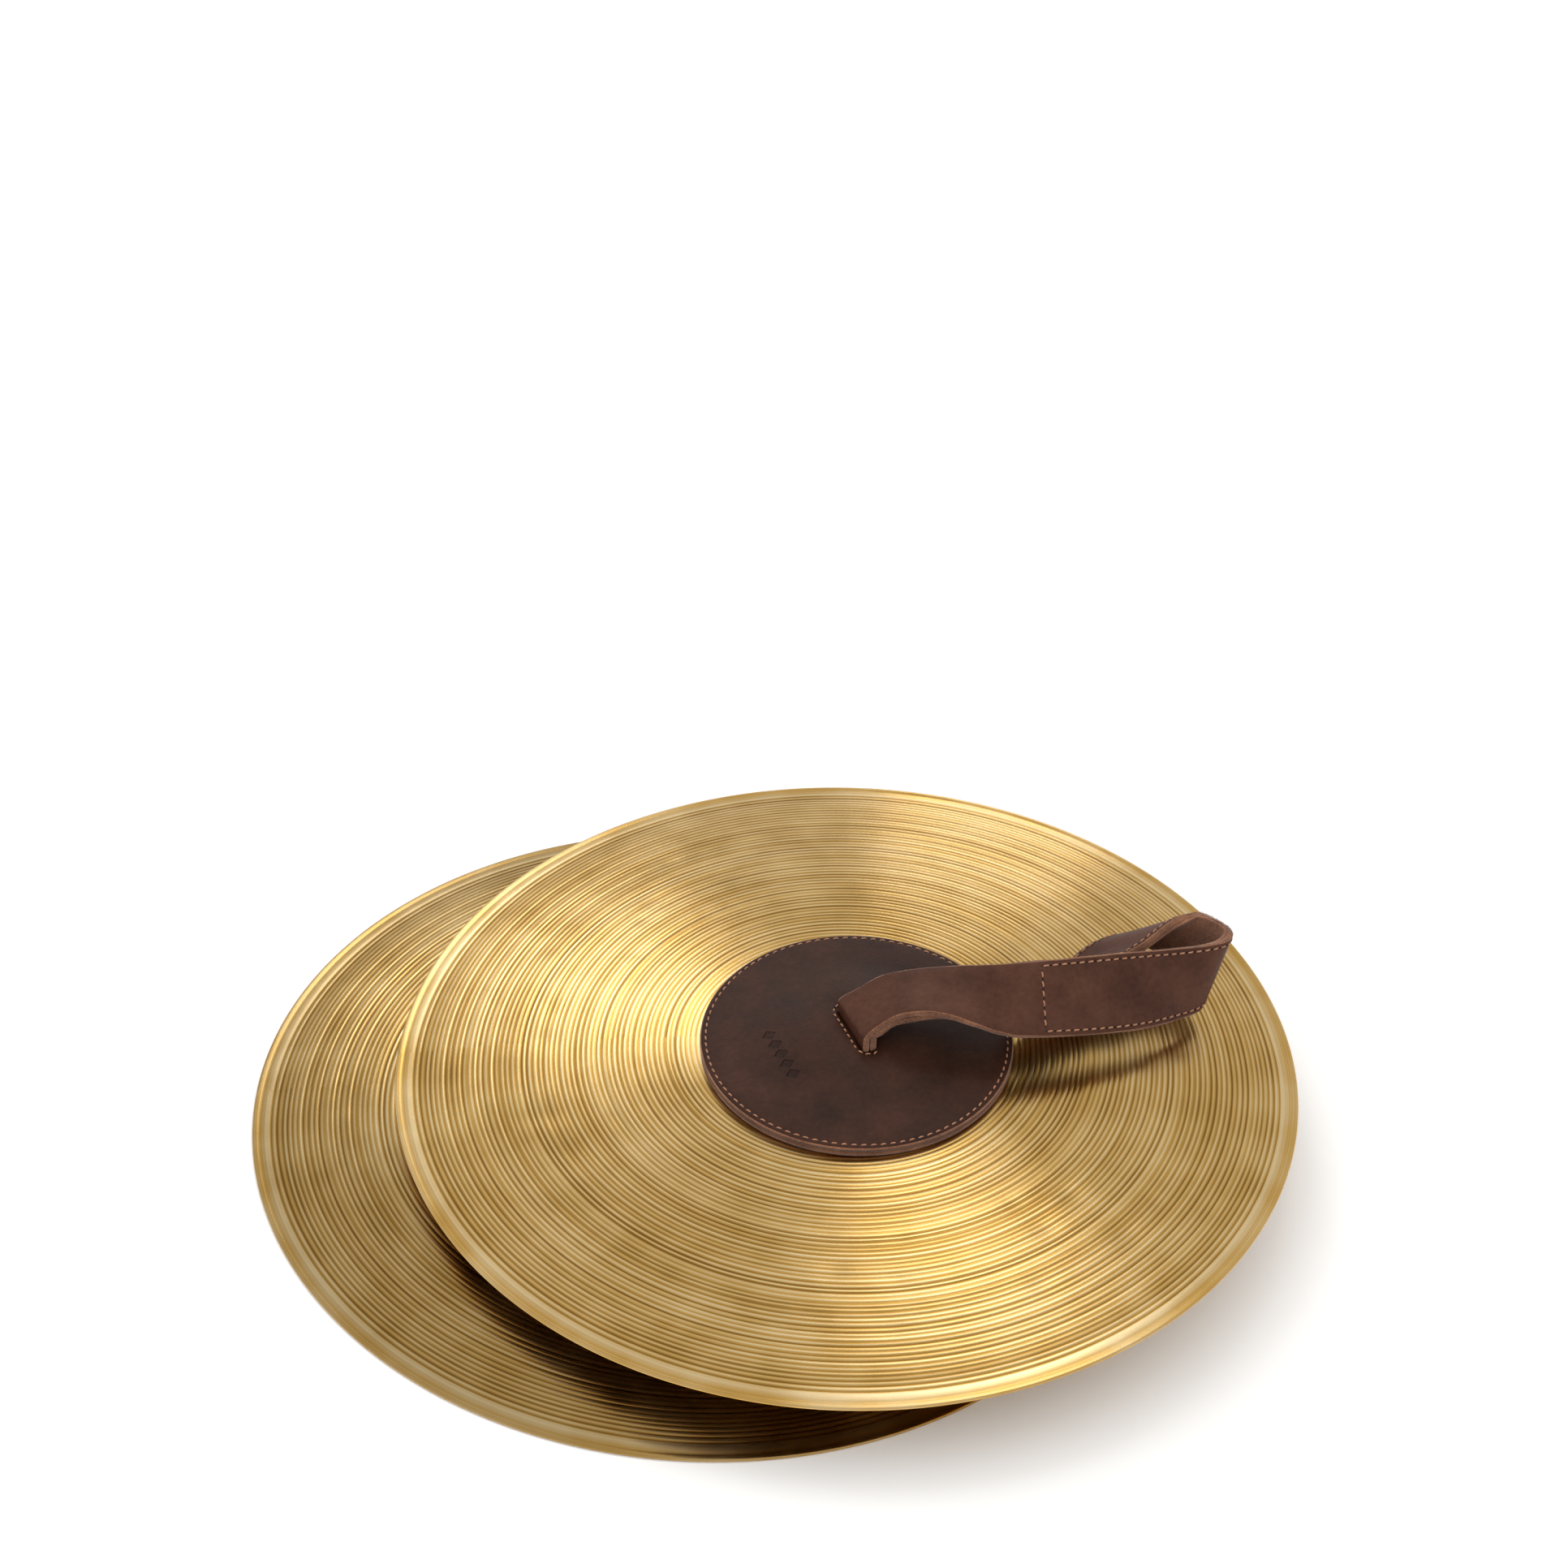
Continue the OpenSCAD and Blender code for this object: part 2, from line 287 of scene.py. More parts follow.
# painted shade: the lower plate's bronze is the same metal at 0.72 of the colour
BRONZE = {"lower": make_bronze("shaded_bronze", 0.72), "upper": make_bronze("bright_bronze", 1.0)}
print("made", [material.name for material in BRONZE.values()])

# %% [markdown]
# ## Leather, suede and felt
# The leather is dark, waxed and slightly mottled, with a fine grain. Cut edges and flesh sides are
# rough, fibrous and lighter. A row of five small lozenges is pressed into the pad beside the slot.

# %% The leather materials
# the stamped row in metres: how far it lies from the slot, the step, one lozenge's half sizes, half the row
STAMP_OFFSET, STAMP_STEP, STAMP_HALF_L, STAMP_HALF_W, STAMP_ROW_HALF = 0.037, 0.0066, 0.0036, 0.0030, 0.0164


def stamp(tree):
    """A blind-embossed row of five lozenges beside the slot, 1 inside and 0 outside, from the pad's UV map."""
    flat = node(tree, "SeparateXYZ", Vector=node(tree, "UVMap", {"uv_map": "pad"}).outputs["UV"])
    off = math_node(tree, "ABSOLUTE", math_node(tree, "ADD", flat.outputs["X"], STAMP_OFFSET))
    row = math_node(tree, "PINGPONG", flat.outputs["Y"], STAMP_STEP / 2)
    near = math_node(tree, "ADD", math_node(tree, "DIVIDE", off, STAMP_HALF_L),
                     math_node(tree, "DIVIDE", row, STAMP_HALF_W))
    inside = node(tree, "MapRange", Value=near, From_Min=0.75, From_Max=1.0, To_Min=1.0, To_Max=0.0)
    along = math_node(tree, "LESS_THAN", math_node(tree, "ABSOLUTE", flat.outputs["Y"]), STAMP_ROW_HALF)
    return math_node(tree, "MULTIPLY", inside.outputs[0], along)


def make_leather(name, colours, roughness, grain_scale, grain_depth, stamped=False):
    material, tree, skin = new_material(name)
    spot = node(tree, "TexCoord").outputs["Object"]
    mottle = noise_node(tree, spot, 34.0, 4.0, 0.6)
    fine = noise_node(tree, spot, 420.0, 3.0)
    tone = weighted_sum(tree, (mottle, 0.75), (fine, 0.25))
    if stamped:
        pressed = stamp(tree)
        tone = math_node(tree, "SUBTRACT", tone, math_node(tree, "MULTIPLY", pressed, 0.15))
    tree.links.new(ramp(tree, tone, *zip((0.34, 0.5, 0.68), colours)), skin.inputs["Base Color"])
    rough = node(tree, "MapRange", Value=mottle, From_Min=0.3, From_Max=0.7,
                 To_Min=roughness - 0.05, To_Max=roughness + 0.07)
    tree.links.new(rough.outputs[0], skin.inputs["Roughness"])
    skin.inputs["Specular IOR Level"].default_value = 0.16
    cells = node(tree, "TexVoronoi", {"feature": "SMOOTH_F1"}, Vector=spot, Scale=grain_scale)
    creases = noise_node(tree, spot, 130.0, 5.0, 0.62)
    surface = bump(tree, cells.outputs["Distance"], grain_depth, 0.45)
    surface = bump(tree, creases, 0.0005, 0.25, surface)
    if stamped:
        surface = bump(tree, math_node(tree, "SUBTRACT", 1.0, pressed), 0.0009, 1.0, surface)
    tree.links.new(surface, skin.inputs["Normal"])
    return material


def make_fibrous(name, dark, light, scale, depth, sheen):
    material, tree, skin = new_material(name)
    spot = node(tree, "TexCoord").outputs["Object"]
    patch = noise_node(tree, spot, 90.0, 3.0)
    fuzz = noise_node(tree, spot, scale, 4.0, 0.7)
    tone = weighted_sum(tree, (patch, 0.4), (fuzz, 0.6))
    tree.links.new(ramp(tree, tone, (0.36, dark), (0.64, light)), skin.inputs["Base Color"])
    skin.inputs["Roughness"].default_value = 0.92
    skin.inputs["Specular IOR Level"].default_value = 0.2
    skin.inputs["Sheen Weight"].default_value = sheen
    skin.inputs["Sheen Roughness"].default_value = 0.5
    tree.links.new(bump(tree, fuzz, depth, 0.8), skin.inputs["Normal"])
    return material


PAD_BROWNS = (0.022, 0.0078, 0.0043), (0.036, 0.0130, 0.0070), (0.056, 0.0208, 0.0116)
STRAP_BROWNS = (0.040, 0.0144, 0.0080), (0.067, 0.0245, 0.0138), (0.095, 0.0370, 0.0215)
top_leather = make_leather("top_leather", PAD_BROWNS, 0.42, 1150.0, 0.00012, stamped=True)
strap_leather = make_leather("strap_leather", STRAP_BROWNS, 0.46, 900.0, 0.0002)
raw_edge = make_fibrous("raw_edge", (0.095, 0.036, 0.018), (0.33, 0.150, 0.080), 1500.0, 0.0004, 0.25)
suede = make_fibrous("suede", (0.08, 0.032, 0.017), (0.235, 0.106, 0.058), 1700.0, 0.0003, 0.35)
felt = make_fibrous("felt", (0.09, 0.055, 0.038), (0.16, 0.10, 0.07), 1400.0, 0.0004, 0.3)
print("made", top_leather.name, strap_leather.name, raw_edge.name, suede.name, felt.name)

# %% [markdown]
# ## Thread and holes
# The thread is waxed and copper-tan, with strands finer than a bump of the whole stitch. The needle holes
# are painted shade: short nearly black plugs stand for the shade in each pit, which is what makes a line
# of sewing look sewn rather than laid on.

# %% The thread and the needle holes
def make_thread():
    material, tree, skin = new_material("thread")
    spot = node(tree, "TexCoord").outputs["Object"]
    strands = noise_node(tree, spot, 2200.0, 2.0)
    colour = ramp(tree, strands, (0.35, (0.22, 0.092, 0.046)), (0.65, (0.47, 0.225, 0.125)))
    tree.links.new(colour, skin.inputs["Base Color"])
    skin.inputs["Roughness"].default_value = 0.6
    tree.links.new(bump(tree, strands, 0.0001, 0.7), skin.inputs["Normal"])
    return material


def make_hole_shade():
    material, tree, skin = new_material("needle_hole_shade")
    # painted shade: a near-black mottle for the shade inside the needle holes
    shade_mottle = noise_node(tree, node(tree, "TexCoord").outputs["Object"], 900.0)
    colour = ramp(tree, shade_mottle, (0.3, (0.004, 0.002, 0.0015)), (0.7, (0.012, 0.006, 0.004)))
    tree.links.new(colour, skin.inputs["Base Color"])
    skin.inputs["Roughness"].default_value = 0.9
    return material


thread = make_thread()
needle_hole_shade = make_hole_shade()
print("made", thread.name, needle_hole_shade.name)

# %% [markdown]
# ## The lathed profile
# A lathe tool leaves a groove at every pass, about 2.4 mm apart, from under the pad out to a narrow smooth
# band at the rim. The profile is a list of radii and heights, first along the upper face and then back
# along the lower one, and the plate is that profile spun about the axis. Each point also has a shade,
# which is painted shade that darkens the groove valleys, the deeper ones more.

# %% Radii of the grooves
FIRST_GROOVE, LAST_GROOVE = 62.0, 195.6
PITCHES, DEPTHS = (2.15, 2.6), (0.13, 0.17, 0.21, 0.25)
UNDER_PITCH, UNDER_DEPTHS = 3.4, (0.0, 0.06, 0.1)
BORE_EDGE = 0.35


def upper_grooves(rng):
    """Points of (radius, height, shade): each groove has a shoulder, a valley and a ridge; shade is painted
    shade, darkest in the deepest valleys, with a little random tone.
    """
    points, r = [], FIRST_GROOVE
    while r < LAST_GROOVE:
        pitch, depth, valley = rng.uniform(*PITCHES), rng.choice(DEPTHS), rng.uniform(0.5, 0.62)
        swell = 0.02 * math.sin(r / 5.3)
        shoulder = (valley - 0.25, 0.55 * depth, 0.45)
        for share, drop, shade in (shoulder, (valley, depth, 0.35 + 2.8 * depth), (1.0, 0.0, 0.0)):
            at = r + share * pitch
            points.append((at, above(at, swell - drop), shade + rng.uniform(0.0, 0.1)))
        r += pitch
    return points


def lower_grooves(rng):
    points, r = [], 196.0
    while r > 24:
        depth = rng.choice(UNDER_DEPTHS)
        # painted shade: deeper grooves on the lower face get a darker shade
        points.append((r, under(r) + depth, 0.4 + 4 * depth))
        points.append((r - 1.6, under(r - 1.6), 0.3))
        r -= UNDER_PITCH
    return points


def lathe_profile():
    rng = random.Random(7)
    bell = [(r, above(r, 0), 0.3) for r in np.linspace(HOLE_R + 0.4, FIRST_GROOVE, 22)]
    grooves = upper_grooves(rng)
    band = [(r, above(r, -0.04), 0.42) for r in (199.0, 199.8, 200.6)]
    rim = [(202.2, PLATE_T + 0.01, 0.3), (202.9, PLATE_T - 0.22, 0.3), (PLATE_R, 0.75, 0.5),
           (202.95, 0.2, 0.5), (202.3, 0.0, 0.4)]
    low = [(r, under(r), 0.4) for r in (200.6, 198.5)] + lower_grooves(rng)
    low += [(r, under(r), 0.4) for r in np.linspace(22, HOLE_R + 0.4, 8)]
    bore = [(HOLE_R, under(HOLE_R) + BORE_EDGE, 0.4), (HOLE_R, above(HOLE_R, -BORE_EDGE), 0.4)]
    print(len(grooves) // 3, "grooves on the upper face and", (len(low) - 10) // 2, "on the lower one")
    return bell + grooves + band + rim + low + bore


PROFILE = lathe_profile()

# %% [markdown]
# ## Spinning and hammering the plate
# The spin makes a full turn and merges its last ring with its first. Hammer marks are shallow dents in
# loose rows part of the way out; both faces move together there, as in sheet metal. They are
# slightly different on the two plates.

# %% The plates
TURNS = 256
HAMMER_ROWS = ((88, 15), (112, 21), (136, 26), (160, 24))  # radius, number of marks
MARK_SIZES, MARK_DEPTHS = (7, 13), (0.03, 0.17)


def hammer_marks(seed):
    """Places (x, y) with the size and depth of each mark."""
    rng = random.Random(seed)
    marks = []
    for row, (radius, number) in enumerate(HAMMER_ROWS):
        for k in range(number):
            angle = 2 * math.pi * (k + rng.uniform(-0.35, 0.35)) / number + row
            r = radius + rng.uniform(-7, 7)
            marks.append((r * math.cos(angle), r * math.sin(angle),
                          rng.uniform(*MARK_SIZES), rng.uniform(*MARK_DEPTHS)))
    return marks


def hammered(co, seed):
    """How far each point sinks: the dents, and a slight wave round the plate, fading out at pad and rim."""
    dent = np.zeros(len(co))
    for x, y, size, depth in hammer_marks(seed):
        dent += depth * np.exp(-((co[:, 0] - x) ** 2 + (co[:, 1] - y) ** 2) / (size * 0.55) ** 2)
    angle = np.arctan2(co[:, 1], co[:, 0])
    wave = 0.035 * np.sin(3 * angle + seed) + 0.0175 * np.sin(7 * angle + 2 * seed)
    radius = np.hypot(co[:, 0], co[:, 1])
    share = np.clip((radius - 80) / 60, 0, 1) * np.clip((200 - radius) / 30, 0, 1)
    return (dent + wave) * share


def map_rings(bm):
    """A UV map of (turn, radius in metres); each face counts its turn from its own middle."""
    rings = bm.loops.layers.uv.new("rings")
    for face in bm.faces:
        middle = face.calc_center_median()
        centre = math.atan2(middle.y, middle.x)
        for loop in face.loops:
            x, y, _ = loop.vert.co
            turn = centre + math.remainder(math.atan2(y, x) - centre, 2 * math.pi)
            loop[rings].uv = (turn / (2 * math.pi), math.hypot(x, y) / 1000)


def plate(which, seed):
    bm = bmesh.new()
    groove = bm.verts.layers.float.new("groove")
    verts = []
    for r, z, shade in PROFILE:
        verts.append(bm.verts.new((r, 0, z)))
        verts[-1][groove] = shade
    edges = [bm.edges.new((a, b)) for a, b in zip(verts, verts[1:] + verts[:1])]
    bmesh.ops.spin(bm, geom=verts + edges, cent=(0, 0, 0), axis=(0, 0, 1), angle=2 * math.pi,
                   steps=TURNS, use_merge=True, use_duplicate=False)
    sunk = hammered(np.array([v.co for v in bm.verts]), seed)
    for v, drop in zip(bm.verts, sunk):
        v.co.z -= drop
    map_rings(bm)
    obj = add_piece(which + "_bronze", bm, which, [BRONZE[which]])
    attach(obj, which + "_cymbal")
    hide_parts(which + "_plate")
    print(obj.name, "has", len(obj.data.polygons), "faces; deepest dent", round(float(sunk.max()), 2), "mm")


for which, seed in (("lower", 3), ("upper", 11)):
    plate(which, seed)

# %% [markdown]
# ## The slot and the pad's rings
# The slot is a straight cut with round ends, set across the direction that the strap leaves in. Rings
# that run from the slot's outline out to the pad's circle make a mesh that suits both shapes.

# %% Outlines between slot and edge
HEADING_ANGLE = math.radians(26)
HEADING = Vector((math.cos(HEADING_ANGLE), math.sin(HEADING_ANGLE), 0))
ACROSS = Vector((-HEADING.y, HEADING.x, 0))
SLOT_L, SLOT_W = 30.0, 7.8
SEGMENTS = 144


def pad_point(flat):
    """The place on the pad's plane of a point given along the slot (x) and away from the strap (y)."""
    return PAD_AT + ACROSS * flat.x - HEADING * flat.y


def slot_point(angle, grow=0.0):
    """Where a ray at this angle from the slot's long axis meets its outline, grown by some distance."""
    half, radius = (SLOT_L - SLOT_W) / 2, SLOT_W / 2 + grow
    along, side = math.cos(angle), math.sin(angle)
    if abs(side) > 1e-6 and abs(along / side) * radius <= half:
        return Vector((along / abs(side) * radius, math.copysign(radius, side)))
    t = half * abs(along) + math.sqrt(max(0.0, radius ** 2 - (half * side) ** 2))
    return Vector((along, side)) * t


def pad_ring(share, outer):
    """Points on the pad's plane from the slot (share 0) to the circle of radius outer (share 1)."""
    points = []
    for k in range(SEGMENTS):
        turn = 2 * math.pi * k / SEGMENTS
        # rays fan out more evenly at the slot if the angle is drawn towards its long sides
        angle = turn + 0.32 * math.sin(2 * turn) * (1 - share)
        rim = Vector((math.cos(turn), math.sin(turn))) * outer
        points.append(pad_point(slot_point(angle).lerp(rim, share)))
    return points


print("the slot's half length and width:", [round(slot_point(a).length, 2) for a in (0, math.pi / 2)], "mm")

# %% [markdown]
# ## The pad: suede base, felt and top leather
# Three discs are glued in a stack. The two lower ones are plain slices with rounded rims; only their
# edges show, as stripes under the top leather. The slot goes through all three.

# %% The two lower layers
FACE_SHARES = [0.0, 0.2, 0.45, 0.7, 0.9, 0.985]
EDGE_ROUNDING, EDGE_BULGE, RAGGED = 0.35, 0.003, 0.16
GLUE_GAP = 0.02


def layer_disc(name, which, outer, low, high, material, cad_node):
    bm = bmesh.new()
    rings = []
    mid = (low + high) / 2
    section = [(share, high) for share in FACE_SHARES]
    section += [(1.0, high - EDGE_ROUNDING), (1.0, mid), (1.0, low + EDGE_ROUNDING)]
    section += [(share, low) for share in reversed(FACE_SHARES)] + [(0.0, mid)]
    for share, lift in section:
        bulge = 1.0 + (EDGE_BULGE if lift == mid and share == 1.0 else 0.0)
        row = []
        for k, p in enumerate(pad_ring(share, outer * bulge)):
            ragged = RAGGED * noise.noise(Vector((k * 0.9, lift, 5.0))) if share >= FACE_SHARES[-1] else 0.0
            p += (p - PAD_AT).normalized() * ragged
            row.append(bm.verts.new(on_pad(p.x, p.y, lift)))
        rings.append(row)
    ring_strip(bm, rings, closed_rows=True)
    obj = add_piece(name, bm, which, [material])
    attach(obj, which + "_pad")
    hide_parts(cad_node)
    return obj


for which in ("lower", "upper"):
    base = layer_disc(which + "_suede_base", which, PAD_R - 0.4, BASE_LIFT, FELT_LIFT,
                      suede, which + "_pad_base")
    wool = layer_disc(which + "_felt_disc", which, PAD_R - 0.8, FELT_LIFT + GLUE_GAP, COVER_LIFT - GLUE_GAP,
                      felt, which + "_pad_felt")
    print(base.name, wool.name)

# %% [markdown]
# ## The top leather, filled over the felt
# The top leather is sewn down near its edge and held at the slot, and the felt lifts it between the two.
# A short cloth simulation does that lifting: the edge, the underside and the slot's lips are pinned and
# a little pressure raises the rest. The lift is capped, so that it stays a pad and not a cushion.

# %% The top leather discs
SEAM_SHARE = 0.962
COVER_SHARES = ([0.0, 0.018, 0.045] + [round(float(s), 4) for s in np.linspace(0.09, 0.90, 19)]
                + [0.93, 0.95, SEAM_SHARE, 0.973, 0.984, 0.993])


def cover_lift(share):
    """The face's height: drawn in at the slot and the seam, rolled at the edge and crowned between."""
    lip = -0.75 * math.exp(-(share / 0.035) ** 2) - 0.35 * math.exp(-(share / 0.12) ** 2)
    seam = -0.28 * math.exp(-((share - 0.9615) / 0.009) ** 2)
    roll = -0.35 * max(0.0, (share - 0.975) / 0.018) ** 2
    crown = 0.55 * math.sin(math.pi * min(1.0, share / 0.955)) ** 0.8
    return TOP_LIFT + lip + seam + roll + crown - 0.1


def cover_shape(which, name):
    bm = bmesh.new()
    foot = COVER_LIFT + GLUE_GAP
    face_rows = [(share, cover_lift(share), 0.0) for share in COVER_SHARES]
    edge_rows = [(1.0, TOP_LIFT - 0.75, 0.12), (1.0, COVER_LIFT + 0.45, 0.1)]
    back_rows = [(share, foot, 0.0) for share in (0.99, 0.6, 0.2, 0.0)]
    rings, held = [], []
    for share, lift, out in face_rows + edge_rows + back_rows:
        points = [on_pad(p.x, p.y, lift) for p in pad_ring(share, PAD_R + out)]
        rings.append([bm.verts.new(p) for p in points])
        loose = lift > foot and 0.05 < share <= 0.93
        held += [not loose] * SEGMENTS
    ring_strip(bm, rings, closed_rows=True)
    flat = bm.loops.layers.uv.new("pad")
    for face in bm.faces:
        for loop in face.loops:
            p = loop.vert.co - PAD_AT
            loop[flat].uv = (p.dot(HEADING) / 1000, p.dot(ACROSS) / 1000)
    first = len(COVER_SHARES) - 1  # the three rows of faces from here on are the cut edge
    bm.faces.ensure_lookup_table()
    for face in bm.faces[first * SEGMENTS:(first + 3) * SEGMENTS]:
        face.material_index = 1
    obj = add_piece(name, bm, which, [top_leather, raw_edge])
    group = obj.vertex_groups.new(name="held")
    group.add([index for index, pinned in enumerate(held) if pinned], 1.0, "REPLACE")
    return obj


LIFT_CAP = 0.0011  # metres
CLOTH_FRAMES = 20


def fill_cover(obj, which):
    """Raises the loose part of the leather with a short pressure simulation, and caps how far it goes."""
    before = np.array([v.co for v in obj.data.vertices])
    cloth = obj.modifiers.new("Cloth", "CLOTH")
    s = cloth.settings
    s.quality = 8
    s.mass = 0.4
    s.tension_stiffness = s.compression_stiffness = 40
    s.shear_stiffness = 20
    s.bending_stiffness = 4
    s.use_pressure = True
    s.uniform_pressure_force = 4
    s.effector_weights.gravity = 0
    s.vertex_group_mass = "held"
    cloth.point_cache.frame_start, cloth.point_cache.frame_end = 1, CLOTH_FRAMES
    scene = bpy.context.scene
    scene.frame_start, scene.frame_end = 1, CLOTH_FRAMES
    for number in range(1, CLOTH_FRAMES + 1):
        scene.frame_set(number)
    graph = bpy.context.evaluated_depsgraph_get()
    after = np.array([v.co for v in obj.evaluated_get(graph).data.vertices])
    obj.modifiers.remove(cloth)
    scene.frame_set(1)
    up = np.array((PLACE[which].to_3x3() @ Vector((0, 0, 1))).normalized())
    rise = np.clip((after - before) @ up, 0, None)
    top = max(rise.max(), 1e-9)
    rise *= min(1.0, LIFT_CAP / top)
    moved = before + rise[:, None] * up
    obj.data.vertices.foreach_set("co", moved.astype(np.float32).ravel())
    obj.data.update()
    print(obj.name, "rose by", round(1000 * top, 2), "mm, kept", round(1000 * rise.max(), 2), "mm")


covers = {}
for which in ("lower", "upper"):
    cover = cover_shape(which, which + "_top_leather")
    fill_cover(cover, which)
    subdivide(cover)
    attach(cover, which + "_pad")
    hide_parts(which + "_pad_cover")
    covers[which] = cover

# %% [markdown]
# ## Stitches and needle holes
# Each stitch is a short bead of thread whose two ends dip into the leather at needle holes, painted as
# dark plugs of shade. A line of sewing is described by points and outward normals; stitches are set
# along it at a steady pitch.

# %% Sewing helpers
def walk(points, normals, pitch, closed):
    """Evenly spaced (position, direction, normal) along a line, by arc length."""
    line = list(zip(points, normals))
    if closed:
        line.append(line[0])
    lengths = [0.0]
    for (a, _), (b, _) in zip(line, line[1:]):
        lengths.append(lengths[-1] + (b - a).length)
    count = max(1, round(lengths[-1] / pitch))
    step = lengths[-1] / count
    for number in range(count):
        s = (number + 0.5) * step
        i = min(len(line) - 2, max(0, bisect.bisect_right(lengths, s) - 1))
        t = (s - lengths[i]) / max(1e-9, lengths[i + 1] - lengths[i])
        (a, na), (b, nb) = line[i], line[i + 1]
        yield a.lerp(b, t), (b - a).normalized(), na.lerp(nb, t).normalized()


THREAD_W, THREAD_H = 0.85, 0.62
HOLE_RADIUS, HOLE_DEPTH, HOLE_LIFT = 0.4, 0.5, 0.05
HALF_BEAD = ((0.14, 1.0, 0.42), (0.40, 0.8, -0.1), (0.5, 0.28, -0.75))  # place, size, height
BEAD = [(-t, size, up) for t, size, up in reversed(HALF_BEAD)] + list(HALF_BEAD)


def add_bead(bm, at, along, out, length, rng):
    side = out.cross(along).normalized()
    slant = 0.10 + rng.uniform(-0.05, 0.05)
    along = (along + side * slant).normalized()
    side = out.cross(along).normalized()
    rings = []
    for t, size, up in BEAD:
        centre = at + along * (t * length) + out * (up * THREAD_H)
        rings.append(oval_ring(bm, centre, side * (size * THREAD_W / 2), out * (size * THREAD_H / 2), 6))
    ring_strip(bm, rings)
    cap_ends(bm, rings)


# painted shade: a short near-black plug, sunk into the leather, stands for the shade inside a needle hole
def add_hole(bm, at, out):
    side = out.orthogonal().normalized() * HOLE_RADIUS
    other = out.cross(side)
    rings = [oval_ring(bm, at + out * lift, side, other, 8) for lift in (HOLE_LIFT, HOLE_LIFT - HOLE_DEPTH)]
    ring_strip(bm, rings)
    cap_ends(bm, rings)


def sew(name, which, lines, body, cad_node, pitch=4.3, length=3.1, seed=1):
    rng = random.Random(seed)
    beads, holes = bmesh.new(), bmesh.new()
    count = 0
    for points, normals, closed in lines:
        for at, along, out in walk(points, normals, pitch, closed):
            add_bead(beads, at, along, out, length * rng.uniform(0.94, 1.04), rng)
            for end in (-0.57, 0.57):
                add_hole(holes, at + along * (end * length), out)
            count += 1
    bead_obj = add_piece(name, beads, which, [thread])
    hole_obj = add_piece(name + "_holes", holes, which, [needle_hole_shade], smooth=False)
    for obj in (bead_obj, hole_obj):
        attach(obj, body)
    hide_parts(cad_node)
    print(name, "has", count, "stitches")


# %% [markdown]
# ## Seams of the pad
# One seam runs round the pad near its edge. Its stitches sit on the ring of the finished leather that lies
# at the seam, so they follow the leather after the simulation. The other seam edges the slot.

# %% The pad's two seams
def cover_ring(which, share):
    """One ring of the finished top leather's points, back in the cymbal's own frame."""
    inverse = PLACE[which].inverted()
    first = COVER_SHARES.index(share) * SEGMENTS
    return [inverse @ v.co for v in covers[which].data.vertices[first:first + SEGMENTS]]


def pad_normals(points):
    return [Vector((p.x * 0.0011, p.y * 0.0011, 1)).normalized() for p in points]


# the slot is sewn along its long side away from the strap, and a little way round both ends
LIP_POINTS, LIP_START, LIP_TURN, LIP_GROW, LIP_DROP = 33, -0.06, 1.12, 2.0, 0.35

for which in ("lower", "upper"):
    seam = cover_ring(which, SEAM_SHARE)
    sew(which + "_pad_stitches", which, [(seam, pad_normals(seam), True)],
        which + "_pad", which + "_pad_seam", seed=5)
    lip = []
    for k in range(LIP_POINTS):
        p = pad_point(slot_point(math.pi * (LIP_START + LIP_TURN * k / (LIP_POINTS - 1)), LIP_GROW))
        lip.append(on_pad(p.x, p.y, TOP_LIFT - LIP_DROP))
    sew(which + "_slot_stitches", which, [(lip, pad_normals(lip), False)], which + "_pad", which + "_slot_seam",
        pitch=3.6, length=2.6, seed=6)

# %% [markdown]
# ## The straps' routes
# A strap is one flat band of leather that leaves the slot, makes a loop for the hand and comes back. Its
# route is a list of edge pairs, one point on each edge of the band, which lets the band twist as real
# leather does. Smooth curves run through the points. These are the same places as in the CAD model.

# %% Route points
ROOT_W, STRAP_W, STRAP_T, LINING_T = 28.0, 33.0, 3.0, 1.6
HINGE_Z = above(0, TOP_LIFT) + STRAP_T + 0.6
LEG = STRAP_T / 2 + 0.25


def pair_about(centre, half):
    return centre - half * ACROSS, centre + half * ACROSS


def slot_pair(side, rise):
    return pair_about(Vector((PAD_AT.x, PAD_AT.y, HINGE_Z + rise)) + HEADING * side, ROOT_W / 2)


def flat_pair(s, z):
    width = ROOT_W + (STRAP_W - ROOT_W) * min(1.0, s / 80)
    return pair_about(Vector((PAD_AT.x, PAD_AT.y, z)) + HEADING * s, width / 2)


def pair(x0, y0, z0, x1, y1, z1):
    return Vector((x0, y0, z0)), Vector((x1, y1, z1))


